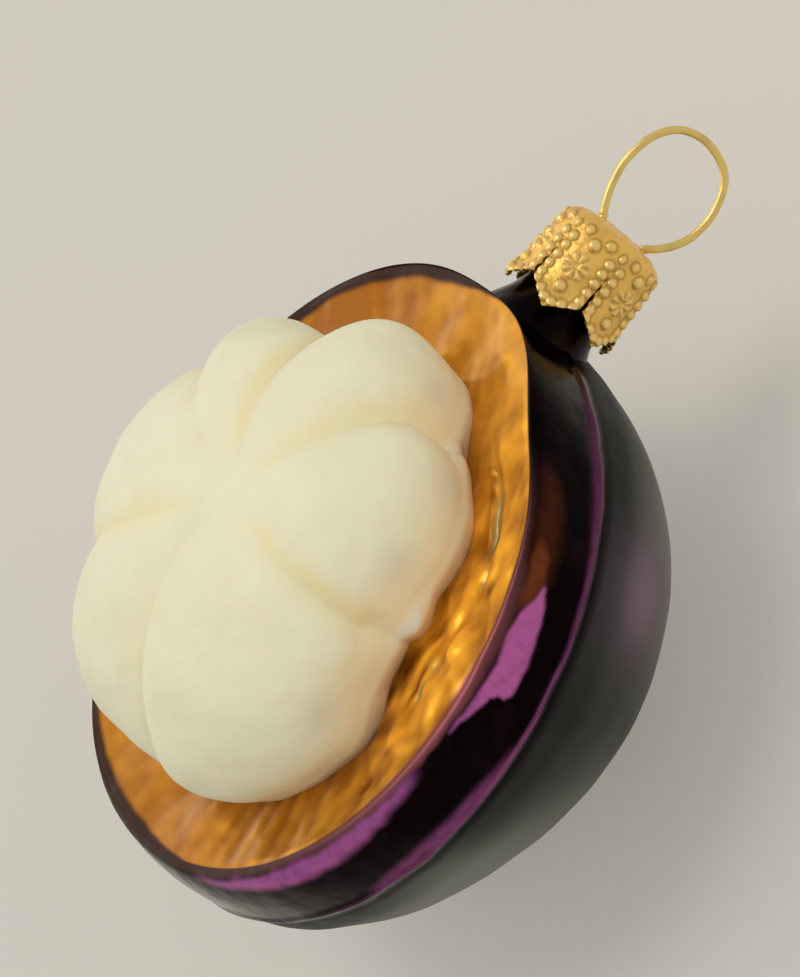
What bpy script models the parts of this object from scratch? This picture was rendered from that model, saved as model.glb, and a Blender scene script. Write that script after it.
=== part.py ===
# Blown-glass tree ornament in the shape of a cut mangosteen, with its metal cap and wire hanger.
# The glass is one hollow piece: rind, cut rim, white flesh and neck. The fruit's axis is +Z,
# the neck points to +X and dips, and the origin is the middle of the flat spot underneath.
import math

import bmesh
import bpy
from mathutils import Matrix, Vector

# Driving dimensions, in metres and degrees
RIM_RADIUS = 0.0300           # outer edge of the cut face
SEAM_RADIUS = 0.0317          # widest part of the fruit, at the mould seam
SEAM_DEPTH = 0.0078           # seam below the cut face
HULL_DEPTH = 0.0257           # round bottom below the seam, before the flat spot
FLAT_RADIUS = 0.0070          # flat spot the fruit rests on
SEAM_SHIFT = Vector((-0.0011, -0.0002))        # the seam's circle sits a little off the rim's
WALL = 0.0010                 # blown glass

FLESH_CENTRE = Vector((-0.0003, -0.0006, 0.0052))   # from the middle of the cut face
FLESH_RADIUS = 0.0234
FLESH_TOP = 0.0127            # half height above the flesh's centre
FLESH_BELOW = 0.0165          # half height of the undercut below it
FOOT_LEVEL = -0.0016          # where the flesh meets the rim's dished face
DISH_DEPTH = 0.0023           # lowest line of the dished face
HUB_SHIFT = Vector((0.235, -0.35, 0.0))        # where the segments meet, off the middle
HUB_DIMPLE = 0.0009

NECK_DROP = 0.0034            # neck axis below the cut face, on the fruit's axis
NECK_TILT = 7.6               # degrees below level
NECK_ROLL = -36.6             # degrees, turns the hanger's plane
NECK_RADIUS = 0.0044
BORE_RADIUS = 0.0034
NECK_END = 0.0405             # along the neck axis, from the fruit's axis

CAP_TOP = 0.0417              # outside of the cap's flat top, along the neck axis
CAP_DOME = 0.0006
CAP_RADIUS_TOP = 0.0054
CAP_RADIUS_SKIRT = 0.0059
CAP_SHEET = 0.00038
CAP_EDGE = 0.0013             # rounding of the top edge
CAP_BAND = 0.0024             # plain band above the slits
TAB_CORNER = 0.0074           # side corners of a tab, below the top
TAB_TIP = 0.0094              # pointed end of a tab, below the top
TABS = 6
TAB_TURN = -103.0             # degrees, the tab that faces the front
SLIT_WIDTH = 0.00036

WIRE_RADIUS = 0.0004
LEG_SPREAD = 0.0024           # each leg from the neck axis, where it enters the cap
LEG_HOLE = 0.00075

# Each row is one segment of the flesh: the groove that starts it (degrees round the foot), how far
# that groove swings on its way to the hub, its depth, the segment's reach and columns, and how
# steep the groove's two sides are, the side before it first.
SEGMENTS = (
    (-149.0, -60.0, 0.0027, 1.045, 12, 2.8, 6.0),
    (-82.0, -22.0, 0.0034, 0.990, 10, 6.0, 3.0),
    (-28.0, 8.0, 0.0025, 1.050, 8, 6.0, 2.8),
    (14.0, 34.0, 0.0027, 1.000, 8, 5.0, 3.0),
    (61.0, 30.0, 0.0023, 1.035, 10, 4.0, 3.0),
    (124.0, 12.0, 0.0024, 1.010, 12, 4.0, 4.0),
)
# Where the flesh, the cut edge and the hull depart from round: azimuth in degrees, rise, and spread
# in radians
FLESH_HILLS = ((-176.0, -0.0013, 0.28), (-145.0, 0.0019, 0.20), (-118.0, -0.0006, 0.15),
               (-97.0, -0.0021, 0.20), (-66.0, -0.0016, 0.28), (-23.0, -0.0006, 0.12), (0.0, 0.0006, 0.13),
               (28.0, -0.0011, 0.26))
RIM_HILLS = ((-12.0, 0.0010, 0.22), (-35.0, -0.0008, 0.25), (18.0, 0.0006, 0.45), (60.0, 0.0007, 0.80),
             (150.0, 0.0022, 0.55))
HULL_HILLS = ((-118.0, -0.0012, 0.52), (-42.0, 0.0005, 0.45))

HULL_ARC = math.acos(FLAT_RADIUS / SEAM_RADIUS)
RIM_LEVEL = SEAM_DEPTH + HULL_DEPTH * math.sin(HULL_ARC)


def clear_scene():
    for item in list(bpy.data.objects):
        bpy.data.objects.remove(item, do_unlink=True)


def material(name, colour, roughness, metallic):
    finish = bpy.data.materials.new(name)
    finish.use_nodes = True
    shader = finish.node_tree.nodes["Principled BSDF"]
    shader.inputs["Base Color"].default_value = (*colour, 1.0)
    shader.inputs["Roughness"].default_value = roughness
    shader.inputs["Metallic"].default_value = metallic
    finish.diffuse_color = (*colour, 1.0)
    return finish


def add_object(name, mesh, finish=None):
    item = bpy.data.objects.new(name, mesh)
    bpy.context.scene.collection.objects.link(item)
    if finish:
        mesh.materials.append(finish)
    return item


def smooth(mesh, angle=40.0):
    mesh.shade_smooth()
    mesh.set_sharp_from_angle(angle=math.radians(angle))


def hide_cutter(item):
    item.hide_render = True
    item.display_type = "WIRE"


def combine(item, cutter, operation):
    step = item.modifiers.new(cutter.name, "BOOLEAN")
    step.object = cutter
    step.operation = operation
    step.solver = "EXACT"
    hide_cutter(cutter)


def ease(value, start, end):
    t = min(max((value - start) / (end - start), 0.0), 1.0)
    return t * t * (3.0 - 2.0 * t)


def columns():
    """Every column of the fruit's skin: segment, place across it from -1 to 1, and azimuth."""
    result = []
    for index, (start, _, _, _, count, _, _) in enumerate(SEGMENTS):
        end = SEGMENTS[(index + 1) % len(SEGMENTS)][0]
        width = (end - start) % 360.0
        for step in range(count):
            even = step / count
            crowded = 0.5 - 0.5 * math.cos(math.pi * even)
            share = 0.6 * even + 0.4 * crowded
            result.append((index, 2.0 * share - 1.0, math.radians(start + width * share)))
    return result


def groove_blend(index, across, field):
    """A groove's value where the column meets it, eased over to the next groove's."""
    share = 0.5 * (across + 1.0)
    here = SEGMENTS[index][field]
    there = SEGMENTS[(index + 1) % len(SEGMENTS)][field]
    return here + (there - here) * share


def flesh_point(index, across, azimuth, share, inset=0.0):
    """A point of the flesh, from the hub at share 0 down to the foot at share 1."""
    below = FLESH_BELOW - inset
    foot_angle = math.acos((FOOT_LEVEL - inset - FLESH_CENTRE.z) / below)
    polar = foot_angle * share
    turn = azimuth + math.radians(groove_blend(index, across, 1)) * (1.0 - share) ** 2
    unit = Vector((math.sin(polar) * math.cos(turn), math.sin(polar) * math.sin(turn), math.cos(polar)))
    unit = (unit + HUB_SHIFT * max(unit.z, 0.0) ** 1.5).normalized()
    wide = FLESH_RADIUS - inset
    high = FLESH_TOP - inset if unit.z > 0.0 else below
    point = Vector((wide * unit.x, wide * unit.y, high * unit.z))
    outward = Vector((unit.x / wide, unit.y / wide, unit.z / high)).normalized()
    groove = SEGMENTS[index if across < 0.0 else (index + 1) % len(SEGMENTS)]
    steep = groove[6 if across < 0.0 else 5]
    sharpness = 2.2 + (steep - 2.2) * ease(share, 0.05, 0.40)
    sharpness += (1.7 - sharpness) * ease(share, 0.55, 1.0)
    run = (0.01 + 0.99 * ease(share, 0.0, 0.90)) * (1.0 - 0.25 * ease(share, 0.80, 1.0))
    valley = groove[2] * abs(across) ** sharpness * run
    swell = (SEGMENTS[index][3] - 1.0) * wide * (1.0 - across * across) * ease(share, 0.15, 0.75)
    swell += hills(azimuth, FLESH_HILLS) * ease(share, 0.25, 0.85)
    dimple = HUB_DIMPLE * math.exp(-(share / 0.16) ** 2)
    return FLESH_CENTRE + point - outward * (valley - swell + dimple)


def hills(azimuth, rows):
    """The sum of smooth rises and hollows round the fruit."""
    total = 0.0
    for centre, rise, spread in rows:
        away = (azimuth - math.radians(centre) + math.pi) % math.tau - math.pi
        total += rise * math.exp(-(away / spread) ** 2)
    return total


def rim_radius(azimuth):
    """The cut edge isn't quite round: it reaches out behind the flesh and has a corner by the neck."""
    return RIM_RADIUS + hills(azimuth, RIM_HILLS)


def hull_point(azimuth, arc, radius, depth):
    """A point of the round bottom, from the seam at arc 0 to the flat spot at arc 1."""
    angle = HULL_ARC * arc
    swell = hills(azimuth, HULL_HILLS) * math.sin(math.pi * min(arc, 1.0))
    return ring_point(radius * math.cos(angle) + swell, azimuth,
                      -SEAM_DEPTH - depth * math.sin(angle), math.cos(angle))


def dish_relief(azimuth, share):
    """Shallow ripples and dimples pressed in the dished face of the rim."""
    ripple = 0.00022 * math.sin(17.0 * azimuth + 1.3 * math.sin(3.0 * azimuth))
    hollow = 0.00028 * math.sin(7.0 * azimuth + 2.0) * math.sin(2.0 * azimuth + 0.6)
    return (ripple + hollow) * math.sin(math.pi * share)


def ring_point(radius, azimuth, level, shift):
    """A point on a level circle, shifted by a share of the seam's own shift."""
    return Vector((radius * math.cos(azimuth) + SEAM_SHIFT.x * shift,
                   radius * math.sin(azimuth) + SEAM_SHIFT.y * shift, level))


def skin_rows():
    """The outside of the fruit, row by row, from round the hub to the flat spot."""
    places = columns()
    rows = [[flesh_point(i, u, a, share) for i, u, a in places]
            for share in (0.09, 0.20, 0.33, 0.46, 0.59, 0.71, 0.82, 0.92, 1.0)]
    foot = rows[-1]
    for share in (0.06, 0.34, 0.66, 0.93):
        row = []
        for (_, _, azimuth), start in zip(places, foot):
            inner = math.hypot(start.x, start.y)
            radius = inner + (rim_radius(azimuth) - 0.0004 - inner) * share
            level = -DISH_DEPTH * (1.0 - share) ** 0.8 + dish_relief(azimuth, share)
            row.append(Vector((radius * math.cos(azimuth), radius * math.sin(azimuth), level)))
        rows.append(row)
    edge = ((0.0, -0.0003), (0.42, -0.0009), (0.74, -0.0024), (0.94, -0.0048), (1.0, 0.0004 - SEAM_DEPTH))
    for share, level in edge:
        row = []
        for _, _, azimuth in places:
            start = rim_radius(azimuth)
            radius = start + (SEAM_RADIUS + 0.0002 - start) * share
            row.append(ring_point(radius, azimuth, level, share))
        rows.append(row)
    for arc in (0.02, 0.14, 0.30, 0.46, 0.62, 0.78, 0.90, 1.0):
        rows.append([hull_point(a, arc, SEAM_RADIUS, HULL_DEPTH) for _, _, a in places])
    return rows


def hollow_rows():
    """The inside of the glass, one wall in from the skin."""
    places = columns()
    thin = 1.15 * WALL
    rows = [[flesh_point(i, u, a, share, thin) for i, u, a in places]
            for share in (0.13, 0.33, 0.53, 0.72, 0.88, 1.0)]
    foot = rows[-1]
    row = []
    for (_, _, azimuth), start in zip(places, foot):
        radius = math.hypot(start.x, start.y) + 0.0004
        row.append(Vector((radius * math.cos(azimuth), radius * math.sin(azimuth), -DISH_DEPTH - 1.5 * WALL)))
    rows.append(row)
    inside = ((RIM_RADIUS - 2.6 * WALL, -1.9 * WALL), (RIM_RADIUS - 1.5 * WALL, -2.4 * WALL),
              (SEAM_RADIUS - 1.6 * WALL, -0.6 * SEAM_DEPTH))
    turns = [(radius, level, shift) for (radius, level), shift in zip(inside, (0.0, 0.2, 0.75))]
    for radius, level, shift in turns:
        rows.append([ring_point(radius, a, level, shift) for _, _, a in places])
    for arc in (0.0, 0.25, 0.5, 0.72, 0.9):
        rows.append([hull_point(a, arc, SEAM_RADIUS - 1.2 * WALL, HULL_DEPTH - 1.9 * WALL)
                     for _, _, a in places])
    return rows


def skin_mesh(name, rows):
    """A closed skin through rows of points, with a fan at the top and one flat face below."""
    skin = bmesh.new()
    grid = [[skin.verts.new(point + Vector((0.0, 0.0, RIM_LEVEL))) for point in row] for row in rows]
    top = sum((vert.co for vert in grid[0]), Vector()) / len(grid[0])
    hub = skin.verts.new(top)
    count = len(grid[0])
    for column in range(count):
        after = (column + 1) % count
        skin.faces.new((hub, grid[0][column], grid[0][after]))
        for upper, lower in zip(grid, grid[1:]):
            skin.faces.new((upper[column], lower[column], lower[after], upper[after]))
    skin.faces.new(grid[-1][::-1])
    mesh = bpy.data.meshes.new(name)
    skin.to_mesh(mesh)
    skin.free()
    return mesh


def turned_mesh(name, outline, sides):
    """A solid turned about Z from an outline of (radius, level) that starts and ends on the axis."""
    solid = bmesh.new()
    verts = [solid.verts.new((radius, 0.0, level)) for radius, level in outline]
    edges = [solid.edges.new(pair) for pair in zip(verts, verts[1:])]
    bmesh.ops.spin(solid, geom=verts + edges, cent=(0, 0, 0), axis=(0, 0, 1),
                   angle=math.tau, steps=sides, use_merge=True)
    bmesh.ops.remove_doubles(solid, verts=solid.verts, dist=1e-6)
    bmesh.ops.recalc_face_normals(solid, faces=solid.faces)
    mesh = bpy.data.meshes.new(name)
    solid.to_mesh(mesh)
    solid.free()
    return mesh


def neck_frame():
    """The neck's own frame: Z runs out along the neck, and the hanger lies in its XZ plane."""
    frame = bpy.data.objects.new("neck_frame", None)
    bpy.context.scene.collection.objects.link(frame)
    turn = (Matrix.Rotation(math.radians(90.0 + NECK_TILT), 4, "Y")
            @ Matrix.Rotation(math.radians(NECK_ROLL), 4, "Z"))
    frame.matrix_world = Matrix.Translation((0.0, 0.0, RIM_LEVEL - NECK_DROP)) @ turn
    return frame


def make_glass(frame):
    glass = add_object("glass_body", skin_mesh("glass_body", skin_rows()),
                       material("lacquered_glass", (0.055, 0.025, 0.060), 0.25, 0.6))
    neck_outline = ((0.0, 0.0280), (0.0050, 0.0280), (0.0058, 0.0300), (0.0054, 0.0312), (0.0048, 0.0322),
                    (NECK_RADIUS, 0.0336), (NECK_RADIUS, NECK_END), (0.0, NECK_END))
    neck = add_object("neck_blank", turned_mesh("neck_blank", neck_outline, 32))
    hollow = add_object("hollow_cutter", skin_mesh("hollow_cutter", hollow_rows()))
    past_end = NECK_END + 0.002
    bore_outline = ((0.0, 0.020), (BORE_RADIUS, 0.020), (BORE_RADIUS, past_end), (0.0, past_end))
    bore = add_object("bore_cutter", turned_mesh("bore_cutter", bore_outline, 24))
    for item in (neck, bore):
        item.parent = frame
    combine(glass, neck, "UNION")
    combine(glass, hollow, "DIFFERENCE")
    combine(glass, bore, "DIFFERENCE")
    smooth(glass.data)
    return glass


def cap_radius(drop):
    """Outer radius of the cap's skirt at a drop below its top."""
    return CAP_RADIUS_TOP + (CAP_RADIUS_SKIRT - CAP_RADIUS_TOP) * drop / TAB_TIP


def cap_blank():
    """The cap before its slits: a domed top with a rounded edge and a slightly flared skirt."""
    def shell(inset):
        edge = CAP_EDGE - inset
        top = CAP_TOP - inset
        middle = cap_radius(CAP_EDGE) - inset - edge
        line = [(0.0, top + CAP_DOME), (0.5 * middle, top + 0.75 * CAP_DOME), (middle, top)]
        for step in (1, 2, 3):
            angle = 0.5 * math.pi * step / 3
            line.append((middle + edge * math.sin(angle), top - edge * (1.0 - math.cos(angle))))
        low = TAB_TIP + 0.0006
        line.append((cap_radius(low) - inset, CAP_TOP - low))
        return line

    outline = shell(0.0) + shell(CAP_SHEET)[::-1]
    return turned_mesh("cap", outline, 36)


def slit_cutter(number):
    """The slit between two tabs, opening into the notch between their points."""
    half = 0.5 * SLIT_WIDTH
    reach = CAP_RADIUS_SKIRT * math.sin(math.pi / TABS) - 0.0001
    below = TAB_TIP + 0.003
    outline = ((half, CAP_BAND), (half * 1.2, TAB_CORNER), (reach, TAB_TIP), (reach, below),
               (-reach, below), (-reach, TAB_TIP), (-half * 1.2, TAB_CORNER), (-half, CAP_BAND))
    cutter = bmesh.new()
    face = cutter.faces.new([cutter.verts.new((0.0030, across, CAP_TOP - drop)) for across, drop in outline])
    pushed = bmesh.ops.extrude_face_region(cutter, geom=[face])
    moved = [part for part in pushed["geom"] if isinstance(part, bmesh.types.BMVert)]
    bmesh.ops.translate(cutter, vec=(0.0050, 0.0, 0.0), verts=moved)
    bmesh.ops.recalc_face_normals(cutter, faces=cutter.faces)
    turn = math.radians(TAB_TURN + 360.0 / TABS * (number + 0.5))
    bmesh.ops.rotate(cutter, cent=(0, 0, 0), matrix=Matrix.Rotation(turn, 3, "Z"), verts=cutter.verts)
    mesh = bpy.data.meshes.new("slit_cutter_%d" % number)
    cutter.to_mesh(mesh)
    cutter.free()
    return mesh


def tab_beads():
    """Raised beads of one tab: (across, drop, radius), a row along every edge and two in the middle."""
    half = CAP_RADIUS_SKIRT * math.radians(180.0 / TABS)
    side = half - 0.00062
    beads = [(0.0, 0.0020, 0.00060), (0.0, 0.0068, 0.00056), (0.0, TAB_TIP - 0.0008, 0.00048),
             (half, 0.0014, 0.00056)]
    for hand in (-1.0, 1.0):
        beads += [(hand * side, drop, 0.00048) for drop in (0.0032, 0.0046, 0.0060, 0.0073)]
        beads.append((hand * side * 0.5, 0.5 * (TAB_CORNER + TAB_TIP) - 0.0004, 0.00048))
    return beads


def dome(solid, place, radius):
    """A low bead with its root sunk in the sheet, pointing along the place's Z."""
    rings = ((1.0, -0.35), (0.75, 0.5))
    count = 6
    loops = []
    for wide, high in rings:
        loops.append([solid.verts.new(place @ Vector((
            radius * wide * math.cos(math.tau * k / count),
            radius * wide * math.sin(math.tau * k / count), radius * high))) for k in range(count)])
    tip = solid.verts.new(place @ Vector((0.0, 0.0, 0.8 * radius)))
    for lower, upper in zip(loops, loops[1:]):
        for k in range(count):
            after = (k + 1) % count
            solid.faces.new((lower[k], lower[after], upper[after], upper[k]))
    for k in range(count):
        solid.faces.new((loops[-1][k], loops[-1][(k + 1) % count], tip))
    solid.faces.new(loops[0][::-1])


def petal(solid, place, length, width, height):
    """One leaf of the embossed flower: a pointed ridge lying along the place's X."""
    outline = ((0.2, 0.0), (0.62, -1.0), (1.0, 0.0), (0.62, 1.0))
    root = [solid.verts.new(place @ Vector((along * length, side * width, -height)))
            for along, side in outline]
    crest = solid.verts.new(place @ Vector((0.6 * length, 0.0, height)))
    for start, end in zip(root, root[1:] + root[:1]):
        solid.faces.new((start, end, crest))
    solid.faces.new(root[::-1])


def sheet_place(azimuth, across, drop):
    """A frame on the skirt's outside, Z pointing out of the sheet and X down the tab."""
    radius = cap_radius(drop)
    angle = azimuth + across / radius
    spot = Vector((radius * math.cos(angle), radius * math.sin(angle), CAP_TOP - drop))
    out = Vector((math.cos(angle), math.sin(angle), 0.0))
    down = Vector((0.0, 0.0, -1.0))
    side = out.cross(down)
    turn = Matrix((down, side, out)).transposed().to_4x4()
    return Matrix.Translation(spot) @ turn


def emboss(cap):
    """Beads and a six-leaved flower on every tab, fused to the sheet in one union."""
    group = bpy.data.collections.new("cap_emboss")
    bpy.context.scene.collection.children.link(group)
    for number in range(TABS):
        azimuth = math.radians(TAB_TURN + 360.0 / TABS * number)
        shapes = [(sheet_place(azimuth, across, drop), radius) for across, drop, radius in tab_beads()]
        for count, (place, radius) in enumerate(shapes):
            solid = bmesh.new()
            dome(solid, place, radius)
            mesh = bpy.data.meshes.new("bead_%d_%d" % (number, count))
            solid.to_mesh(mesh)
            solid.free()
            group.objects.link(bpy.data.objects.new(mesh.name, mesh))
        middle = sheet_place(azimuth, 0.0, 0.0047)
        for leaf in range(6):
            solid = bmesh.new()
            petal(solid, middle @ Matrix.Rotation(math.tau * leaf / 6, 4, "Z"), 0.0013, 0.00042, 0.00036)
            mesh = bpy.data.meshes.new("leaf_%d_%d" % (number, leaf))
            solid.to_mesh(mesh)
            solid.free()
            group.objects.link(bpy.data.objects.new(mesh.name, mesh))
    step = cap.modifiers.new("emboss", "BOOLEAN")
    step.operand_type = "COLLECTION"
    step.collection = group
    step.operation = "UNION"
    step.solver = "EXACT"
    return group


def make_cap(frame):
    cap = add_object("cap", cap_blank(), material("gilt_cap", (0.78, 0.55, 0.20), 0.35, 1.0))
    for number in range(TABS):
        combine(cap, add_object("slit_cutter_%d" % number, slit_cutter(number)), "DIFFERENCE")
    for side in (-1.0, 1.0):
        outline = ((0.0, -0.003), (LEG_HOLE, -0.003), (LEG_HOLE, 0.003), (0.0, 0.003))
        hole = add_object("leg_hole_%s" % ("left" if side < 0 else "right"),
                          turned_mesh("leg_hole", outline, 16))
        hole.location = (side * LEG_SPREAD, 0.0, CAP_TOP)
        combine(cap, hole, "DIFFERENCE")
    group = emboss(cap)
    bpy.context.view_layer.update()
    finished = bpy.data.meshes.new_from_object(cap.evaluated_get(bpy.context.evaluated_depsgraph_get()))
    cap.modifiers.clear()
    cap.data = finished
    smooth(cap.data)
    for item in list(bpy.data.objects):
        if item.name in group.objects or item.name.startswith(("slit_cutter", "leg_hole")):
            bpy.data.objects.remove(item, do_unlink=True)
    bpy.data.collections.remove(group)
    cap.parent = frame
    return cap


def smooth_line(points, parts):
    """A smooth line through the given points, with the same number of parts in every stretch."""
    ends = [points[0] * 2 - points[1]] + points + [points[-1] * 2 - points[-2]]
    line = []
    for before, start, end, after in zip(ends, ends[1:], ends[2:], ends[3:]):
        for step in range(parts):
            t = step / parts
            line.append(0.5 * (2 * start + (end - before) * t
                               + (2 * before - 5 * start + 4 * end - after) * t ** 2
                               + (3 * start - before - 3 * end + after) * t ** 3))
    line.append(points[-1])
    return line


def make_hanger(frame):
    """One spring wire: its legs flare inside the glass, pass the neck and cap, and make the loop."""
    leg = ((0.0036, 0.0260), (0.0031, 0.0273), (0.0026, 0.0290), (LEG_SPREAD, 0.0325), (LEG_SPREAD, 0.0416))
    loop = ((-0.0026, 0.0425), (-0.0032, 0.0437), (-0.0038, 0.0453), (-0.0042, 0.0477), (-0.0037, 0.0509),
            (-0.0020, 0.0531), (0.0008, 0.0537), (0.0038, 0.0524), (0.0052, 0.0493), (0.0052, 0.0464),
            (0.0045, 0.0446), (0.0035, 0.0433), (0.00255, 0.0424))
    route = [Vector((-across, 0.0, along)) for across, along in leg]
    route += [Vector((across, 0.0, along)) for across, along in loop]
    route += [Vector((across, 0.0, along)) for across, along in reversed(leg)]
    path = smooth_line(route, 3)
    curve = bpy.data.curves.new("wire_hanger", "CURVE")
    curve.dimensions = "3D"
    curve.bevel_depth = WIRE_RADIUS
    curve.bevel_resolution = 2
    curve.render_resolution_u = 0
    curve.use_fill_caps = True
    spline = curve.splines.new("POLY")
    spline.points.add(len(path) - 1)
    for spot, point in zip(spline.points, path):
        spot.co = (*point, 1.0)
    curve.materials.append(material("gilt_wire", (0.72, 0.52, 0.20), 0.3, 1.0))
    hanger = bpy.data.objects.new("wire_hanger", curve)
    bpy.context.scene.collection.objects.link(hanger)
    hanger.parent = frame
    return hanger


def main():
    clear_scene()
    frame = neck_frame()
    make_glass(frame)
    make_cap(frame)
    make_hanger(frame)


main()
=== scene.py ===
# Blown-glass mangosteen ornament: the lacquered glass fruit, its embossed gilt cap and its wire
# loop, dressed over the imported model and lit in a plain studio.
import math

import bmesh
import bpy
from mathutils import Matrix, Vector, noise


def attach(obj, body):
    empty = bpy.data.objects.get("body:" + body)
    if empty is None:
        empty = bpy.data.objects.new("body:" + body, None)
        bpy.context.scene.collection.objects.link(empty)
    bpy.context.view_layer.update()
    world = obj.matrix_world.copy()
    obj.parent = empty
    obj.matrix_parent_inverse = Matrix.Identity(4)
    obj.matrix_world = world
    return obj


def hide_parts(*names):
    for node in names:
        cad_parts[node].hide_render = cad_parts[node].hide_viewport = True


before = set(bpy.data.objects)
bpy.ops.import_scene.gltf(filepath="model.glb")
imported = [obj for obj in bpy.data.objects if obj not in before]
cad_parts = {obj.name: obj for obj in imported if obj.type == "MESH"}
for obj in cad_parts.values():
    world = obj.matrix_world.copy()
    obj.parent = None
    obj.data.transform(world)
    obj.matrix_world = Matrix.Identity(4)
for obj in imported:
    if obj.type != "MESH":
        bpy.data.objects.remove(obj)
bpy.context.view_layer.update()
print("frame loaded:", ", ".join(sorted(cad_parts)))


# small helpers for shapes

def ease(value, start, end):
    t = min(max((value - start) / (end - start), 0.0), 1.0)
    return t * t * (3.0 - 2.0 * t)


def hill(distance, width):
    return math.exp(-(distance / width) ** 2)


def turnBetween(azimuth, centreDegrees):
    return (azimuth - math.radians(centreDegrees) + math.pi) % math.tau - math.pi


def hills(azimuth, rows):
    return sum(rise * hill(turnBetween(azimuth, centre), spread) for centre, rise, spread in rows)


def lump(point, size, shift=0.0):
    # smooth noise from -1 to 1, with hills about this size in metres
    return noise.noise(point / size + Vector((shift, 1.7 * shift, 0.3)))


def lumps(point, rows):
    return sum(height * lump(point, size, shift) for height, size, shift in rows)


def smoothLine(points, parts):
    ends = [points[0] * 2 - points[1]] + points + [points[-1] * 2 - points[-2]]
    line = []
    for before, start, end, after in zip(ends, ends[1:], ends[2:], ends[3:]):
        for step in range(parts):
            t = step / parts
            line.append(0.5 * (2 * start + (end - before) * t
                               + (2 * before - 5 * start + 4 * end - after) * t ** 2
                               + (3 * start - before - 3 * end + after) * t ** 3))
    return line + [points[-1]]


def spunDisc(rings, sides, layers=()):
    # a flat disc with a ring at each radius; the pieces below bend it into shape
    mesh = bmesh.new()
    for layer in layers:
        mesh.verts.layers.float.new(layer)
    spots = [mesh.verts.new((radius, 0.0, 0.0)) for radius in rings]
    lines = [mesh.edges.new(pair) for pair in zip(spots, spots[1:])]
    bmesh.ops.spin(mesh, geom=spots + lines, cent=(0, 0, 0), axis=(0, 0, 1),
                   angle=math.tau, steps=sides, use_merge=True)
    bmesh.ops.remove_doubles(mesh, verts=mesh.verts, dist=1e-6)
    return mesh


def closeHoles(mesh):
    rims = [edge for edge in mesh.edges if edge.is_boundary]
    bmesh.ops.holes_fill(mesh, edges=rims, sides=0)
    bmesh.ops.recalc_face_normals(mesh, faces=mesh.faces)


def makePiece(name, mesh, finish, node):
    data = bpy.data.meshes.new(name)
    mesh.to_mesh(data)
    mesh.free()
    data.shade_smooth()
    data.materials.append(finish)
    piece = bpy.data.objects.new(name, data)
    bpy.context.scene.collection.objects.link(piece)
    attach(piece, "root")
    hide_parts(node)
    print(name, "has", len(data.polygons), "faces")
    return piece


# small helpers for materials

def feed(tree, value, socket):
    if isinstance(value, bpy.types.NodeSocket):
        tree.links.new(value, socket)
    else:
        socket.default_value = value


def blendColours(tree, mask, first, second):
    mix = tree.nodes.new("ShaderNodeMix")
    mix.data_type = "RGBA"
    feed(tree, mask, mix.inputs[0])
    feed(tree, first, mix.inputs[6])
    feed(tree, second, mix.inputs[7])
    return mix.outputs[2]


def blendValues(tree, mask, first, second):
    mix = tree.nodes.new("ShaderNodeMix")
    feed(tree, mask, mix.inputs[0])
    feed(tree, first, mix.inputs[2])
    feed(tree, second, mix.inputs[3])
    return mix.outputs[0]


def compute(tree, operation, first, second, clamp=False):
    step = tree.nodes.new("ShaderNodeMath")
    step.operation = operation
    step.use_clamp = clamp
    feed(tree, first, step.inputs[0])
    feed(tree, second, step.inputs[1])
    return step.outputs[0]


def painted(tree, layer):
    spot = tree.nodes.new("ShaderNodeAttribute")
    spot.attribute_name = layer
    return spot.outputs["Fac"]


def newGroup(name, inputs, outputs):
    group = bpy.data.node_groups.new(name, "ShaderNodeTree")
    for label, kind, value in inputs:
        socket = group.interface.new_socket(name=label, in_out="INPUT", socket_type=kind)
        socket.default_value = value
    for label, kind in outputs:
        group.interface.new_socket(name=label, in_out="OUTPUT", socket_type=kind)
    return group, group.nodes.new("NodeGroupInput"), group.nodes.new("NodeGroupOutput")


def makeMottle():
    # soft patches of lacquer: a noise cut between Low and High
    group, given, result = newGroup(
        "lacquerMottle",
        (("Scale", "NodeSocketFloat", 200.0), ("Detail", "NodeSocketFloat", 3.0), ("Low", "NodeSocketFloat", 0.4),
         ("High", "NodeSocketFloat", 0.6), ("Shift", "NodeSocketFloat", 0.0)),
        (("Mask", "NodeSocketFloat"),))
    place = group.nodes.new("ShaderNodeTexCoord")
    moved = group.nodes.new("ShaderNodeVectorMath")
    moved.operation = "ADD"
    clouds = group.nodes.new("ShaderNodeTexNoise")
    cut = group.nodes.new("ShaderNodeMapRange")
    cut.interpolation_type = "SMOOTHSTEP"
    link = group.links.new
    link(place.outputs["Object"], moved.inputs[0])
    link(given.outputs["Shift"], moved.inputs[1])
    link(moved.outputs[0], clouds.inputs["Vector"])
    link(given.outputs["Scale"], clouds.inputs["Scale"])
    link(given.outputs["Detail"], clouds.inputs["Detail"])
    link(clouds.outputs["Fac"], cut.inputs["Value"])
    link(given.outputs["Low"], cut.inputs["From Min"])
    link(given.outputs["High"], cut.inputs["From Max"])
    link(cut.outputs["Result"], result.inputs["Mask"])
    return group


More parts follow.
